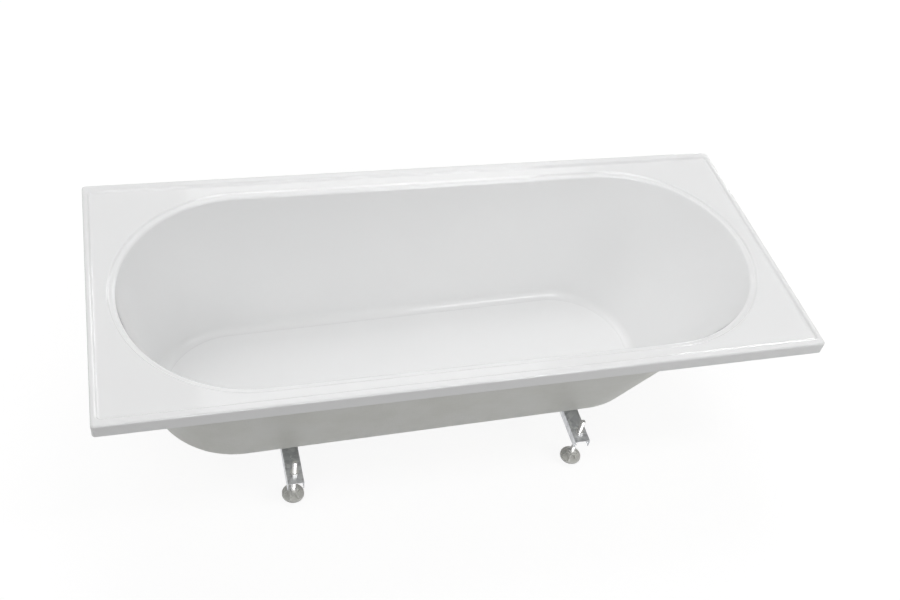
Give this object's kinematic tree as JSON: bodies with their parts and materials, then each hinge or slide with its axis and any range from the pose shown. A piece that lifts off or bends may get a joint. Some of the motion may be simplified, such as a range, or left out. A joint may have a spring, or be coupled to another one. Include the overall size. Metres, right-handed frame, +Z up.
{
  "type": "bathtub",
  "caption": "Inset white bath with a rectangular tiled-in rim, an obround sloping well, a push plug and waste, and adjustable feet on steel cradles.",
  "frame": {"origin": "on the floor, under the middle of the rim", "axes": "+X along the bath from the waste end to the backrest end, +Y from the front to the wall side, +Z up"},
  "size_m": [1.65, 0.705, 0.5001],
  "materials": {
    "white_acrylic": "polished white sanitary acrylic",
    "fibreglass": "sprayed chopped-strand laminate, rough, off-white",
    "chipboard": "raw chipboard with sawn edges",
    "pine": "sawn softwood batten",
    "zinc_steel": "bright zinc plated pressed steel",
    "zinc_fastener": "zinc plated fastener",
    "black_rubber": "matt black rubber",
    "foot_nylon": "white moulded nylon",
    "chrome": "bright chrome plate",
    "brass": "turned brass",
    "white_nylon": "natural nylon",
    "spring_steel": "drawn stainless wire"
  },
  "bodies": {
    "bath": {"acrylic_shell": "white_acrylic", "fibreglass_backing": "fibreglass", "rim_batten_front": "pine", "rim_batten_back": "pine", "rim_batten_drain_end": "pine", "rim_batten_backrest_end": "pine", "base_board": "chipboard", "base_board_wrap": "fibreglass", "cradle_drain_end": "zinc_steel", "cradle_backrest_end": "zinc_steel", "cradle_strip_drain_end": "black_rubber", "cradle_strip_backrest_end": "black_rubber", "centre_foot_bracket": "zinc_steel", "centre_foot_shims": "black_rubber", "base_screws": "zinc_fastener", "weld_nuts": "zinc_fastener", "lock_nuts": "zinc_fastener", "wall_bracket_left": "zinc_steel", "wall_bracket_right": "zinc_steel", "wall_bracket_screws": "zinc_fastener", "waste_body": "chrome", "waste_top_seal": "black_rubber", "waste_under_seal": "black_rubber", "waste_slip_washer": "white_nylon", "waste_back_nut": "brass", "plug_cartridge": "brass", "plug_spring": "spring_steel"},
    "plug": {"plug_cap": "chrome", "plug_seal": "black_rubber", "plug_plunger": "brass"},
    "pad_front_left": {"foot_pad_front_left": "foot_nylon"},
    "stud_front_left": {"foot_stud_front_left": "zinc_fastener"},
    "pad_back_left": {"foot_pad_back_left": "foot_nylon"},
    "stud_back_left": {"foot_stud_back_left": "zinc_fastener"},
    "pad_front_right": {"foot_pad_front_right": "foot_nylon"},
    "stud_front_right": {"foot_stud_front_right": "zinc_fastener"},
    "pad_back_right": {"foot_pad_back_right": "foot_nylon"},
    "stud_back_right": {"foot_stud_back_right": "zinc_fastener"},
    "pad_centre": {"foot_pad_centre": "foot_nylon"},
    "stud_centre": {"foot_stud_centre": "zinc_fastener"}
  },
  "joints": [
    {"name": "plug_push", "type": "slide", "parent": "bath", "child": "plug", "axis": [0, 0, 1], "range_m": [0, 0.009], "deforming": ["plug_spring"]},
    {"name": "foot_height_front_left", "type": "slide", "parent": "bath", "child": "pad_front_left", "axis": [0, 0, -1], "range_m": [-0.02, 0.02]},
    {"name": "foot_turn_front_left", "type": "hinge", "parent": "pad_front_left", "child": "stud_front_left", "pos_m": [-0.4, -0.25, 0.04], "axis": [0, 0, 1], "range_deg": [-4120, 4120]},
    {"name": "foot_height_back_left", "type": "slide", "parent": "bath", "child": "pad_back_left", "axis": [0, 0, -1], "range_m": [-0.02, 0.02]},
    {"name": "foot_turn_back_left", "type": "hinge", "parent": "pad_back_left", "child": "stud_back_left", "pos_m": [-0.4, 0.25, 0.04], "axis": [0, 0, 1], "range_deg": [-4120, 4120]},
    {"name": "foot_height_front_right", "type": "slide", "parent": "bath", "child": "pad_front_right", "axis": [0, 0, -1], "range_m": [-0.02, 0.02]},
    {"name": "foot_turn_front_right", "type": "hinge", "parent": "pad_front_right", "child": "stud_front_right", "pos_m": [0.33, -0.25, 0.04], "axis": [0, 0, 1], "range_deg": [-4120, 4120]},
    {"name": "foot_height_back_right", "type": "slide", "parent": "bath", "child": "pad_back_right", "axis": [0, 0, -1], "range_m": [-0.02, 0.02]},
    {"name": "foot_turn_back_right", "type": "hinge", "parent": "pad_back_right", "child": "stud_back_right", "pos_m": [0.33, 0.25, 0.04], "axis": [0, 0, 1], "range_deg": [-4120, 4120]},
    {"name": "foot_height_centre", "type": "slide", "parent": "bath", "child": "pad_centre", "axis": [0, 0, -1], "range_m": [-0.02, 0.02]},
    {"name": "foot_turn_centre", "type": "hinge", "parent": "pad_centre", "child": "stud_centre", "pos_m": [-0.035, 0, 0.04], "axis": [0, 0, 1], "range_deg": [-4120, 4120]}
  ],
  "couplings": [
    {"joint": "foot_turn_front_left", "follows": "foot_height_front_left", "rad_per_m": -3590.4},
    {"joint": "foot_turn_back_left", "follows": "foot_height_back_left", "rad_per_m": -3590.4},
    {"joint": "foot_turn_front_right", "follows": "foot_height_front_right", "rad_per_m": -3590.4},
    {"joint": "foot_turn_back_right", "follows": "foot_height_back_right", "rad_per_m": -3590.4},
    {"joint": "foot_turn_centre", "follows": "foot_height_centre", "rad_per_m": -3590.4}
  ]
}
